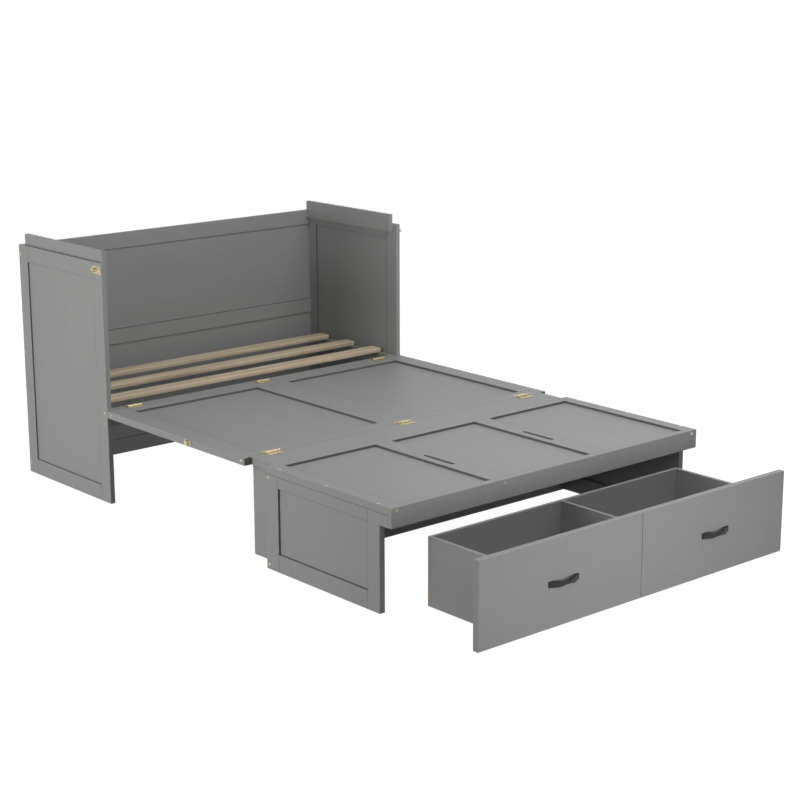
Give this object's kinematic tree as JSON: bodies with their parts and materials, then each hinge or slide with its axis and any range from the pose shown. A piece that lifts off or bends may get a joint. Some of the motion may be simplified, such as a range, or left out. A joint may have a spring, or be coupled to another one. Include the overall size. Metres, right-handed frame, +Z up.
{
  "type": "wall bed",
  "caption": "Cabinet bed shown unfolded: panelled cabinet with slats, hinged platform, foot bench and a drawer on wheels pulled out in front.",
  "frame": {"origin": "on the floor, at the middle of the space that the unfolded bed takes up with its drawer pulled out", "axes": "+X to the right as seen from the foot, +Y towards the head and the wall, +Z up"},
  "size_m": [1.67, 2.98, 1.082],
  "materials": {
    "grey_paint": "satin mid-grey paint on solid frame members",
    "grey_panel": "satin mid-grey paint on flat panels",
    "pine": "planed unfinished pine",
    "brass": "yellow brass plate",
    "dark_bronze": "dark bronze coating",
    "wheel_plastic": "moulded black plastic",
    "bracket_steel": "pressed zinc-plated steel"
  },
  "bodies": {
    "cabinet": {"cabinet_left_side_frame": "grey_paint", "cabinet_left_side_panel": "grey_panel", "cabinet_right_side_frame": "grey_paint", "cabinet_right_side_panel": "grey_panel", "top_strip_left": "grey_paint", "top_strip_right": "grey_paint", "slat_bearer_left": "grey_paint", "slat_bearer_right": "grey_paint", "cabinet_back_bottom_rail": "grey_paint", "cabinet_back_middle_rail": "grey_paint", "cabinet_back_top_rail": "grey_paint", "cabinet_back_lower_panel": "grey_panel", "cabinet_back_upper_panel": "grey_panel", "cabinet_front_rail": "grey_paint", "slat_front": "pine", "slat_middle": "pine", "slat_rear": "pine", "rear_hinge_cabinet_leaves": "brass", "rear_hinge_pins": "brass", "bolt_body_left": "brass", "bolt_body_right": "brass"},
    "platform": {"platform_frame": "grey_paint", "platform_panel_left": "grey_panel", "platform_panel_right": "grey_panel", "rear_hinge_platform_leaves": "brass", "front_hinge_platform_leaves": "brass", "front_hinge_pins": "brass", "keeper_left": "brass", "keeper_right": "brass"},
    "foot_unit": {"foot_strip": "grey_paint", "foot_leg_left": "grey_paint", "foot_leg_right": "grey_paint", "foot_stretcher": "grey_paint", "bench_top_frame": "grey_paint", "bench_panel_left": "grey_panel", "bench_panel_centre": "grey_panel", "bench_panel_right": "grey_panel", "bench_apron": "grey_paint", "bench_left_side_frame": "grey_paint", "bench_left_side_panel": "grey_panel", "bench_right_side_frame": "grey_paint", "bench_right_side_panel": "grey_panel", "bench_back": "grey_paint", "front_hinge_foot_leaves": "brass"},
    "drawer": {"drawer_front": "grey_paint", "drawer_bottom": "grey_paint", "drawer_side_left": "grey_paint", "drawer_side_right": "grey_paint", "drawer_back": "grey_paint", "drawer_divider": "grey_paint", "drawer_pulls": "dark_bronze", "wheel_brackets": "bracket_steel", "wheel_axles": "bracket_steel"},
    "left_bolt": {"bolt_left": "brass"},
    "right_bolt": {"bolt_right": "brass"},
    "front_left_wheel": {"wheel_front_left": "wheel_plastic"},
    "front_right_wheel": {"wheel_front_right": "wheel_plastic"},
    "rear_left_wheel": {"wheel_rear_left": "wheel_plastic"},
    "rear_right_wheel": {"wheel_rear_right": "wheel_plastic"}
  },
  "joints": [
    {"name": "platform_lift", "type": "hinge", "parent": "cabinet", "child": "platform", "pos_m": [0, 0.816, 0.4123], "axis": [-1, 0, 0], "range_deg": [0, 90]},
    {"name": "foot_fold", "type": "hinge", "parent": "platform", "child": "foot_unit", "pos_m": [0, -0.156, 0.4123], "axis": [-1, 0, 0], "range_deg": [0, 90]},
    {"name": "drawer_slide", "type": "slide", "parent": "foot_unit", "child": "drawer", "axis": [0, 1, 0], "range_m": [0, 0.485]},
    {"name": "left_bolt_slide", "type": "slide", "parent": "cabinet", "child": "left_bolt", "axis": [0, -1, 0], "range_m": [0, 0.024]},
    {"name": "right_bolt_slide", "type": "slide", "parent": "cabinet", "child": "right_bolt", "axis": [0, -1, 0], "range_m": [0, 0.024]},
    {"name": "front_left_wheel_spin", "type": "hinge", "parent": "drawer", "child": "front_left_wheel", "pos_m": [-0.554, -1.367, 0.025], "axis": [1, 0, 0], "continuous": true},
    {"name": "front_right_wheel_spin", "type": "hinge", "parent": "drawer", "child": "front_right_wheel", "pos_m": [0.554, -1.367, 0.025], "axis": [1, 0, 0], "continuous": true},
    {"name": "rear_left_wheel_spin", "type": "hinge", "parent": "drawer", "child": "rear_left_wheel", "pos_m": [-0.554, -1.128, 0.025], "axis": [1, 0, 0], "continuous": true},
    {"name": "rear_right_wheel_spin", "type": "hinge", "parent": "drawer", "child": "rear_right_wheel", "pos_m": [0.554, -1.128, 0.025], "axis": [1, 0, 0], "continuous": true}
  ]
}
